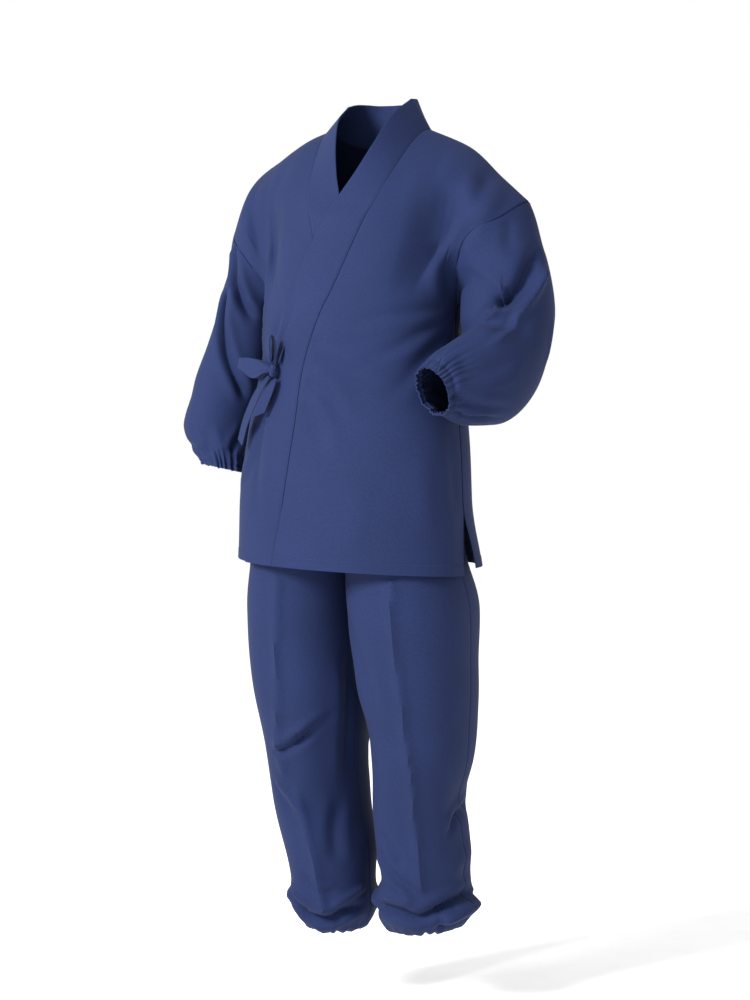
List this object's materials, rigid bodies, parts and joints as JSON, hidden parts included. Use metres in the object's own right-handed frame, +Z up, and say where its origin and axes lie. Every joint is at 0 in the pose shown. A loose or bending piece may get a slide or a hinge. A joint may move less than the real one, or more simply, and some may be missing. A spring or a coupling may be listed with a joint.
{
  "type": "samue jacket and trousers set",
  "caption": "Navy samue work suit: wrapped jacket with stand-up collar band, side ties and elastic cuffs, with trousers elastic at waist and ankles, in its worn form.",
  "frame": {"origin": "middle of the shoulder line at the base of the neck, where the wearer's shoulders hold the jacket up", "axes": "+Z up, the wearer faces -Y, the wearer's left is +X"},
  "size_m": [0.6501, 0.3128, 1.3542],
  "materials": {
    "navy_cloth": "plain woven cotton, matt"
  },
  "bodies": {
    "root": {"back": "navy_cloth", "front_left": "navy_cloth", "front_right": "navy_cloth", "sleeve_left": "navy_cloth", "sleeve_right": "navy_cloth", "collar_band": "navy_cloth", "tie_knot": "navy_cloth", "tie_loop_side": "navy_cloth", "tie_loop_up": "navy_cloth", "tie_tail_long": "navy_cloth", "tie_tail_short": "navy_cloth", "tie_lead_front": "navy_cloth", "tie_lead_side": "navy_cloth", "trousers_front_left": "navy_cloth", "trousers_front_right": "navy_cloth", "trousers_back_left": "navy_cloth", "trousers_back_right": "navy_cloth", "trousers_waistband": "navy_cloth"}
  },
  "joints": []
}
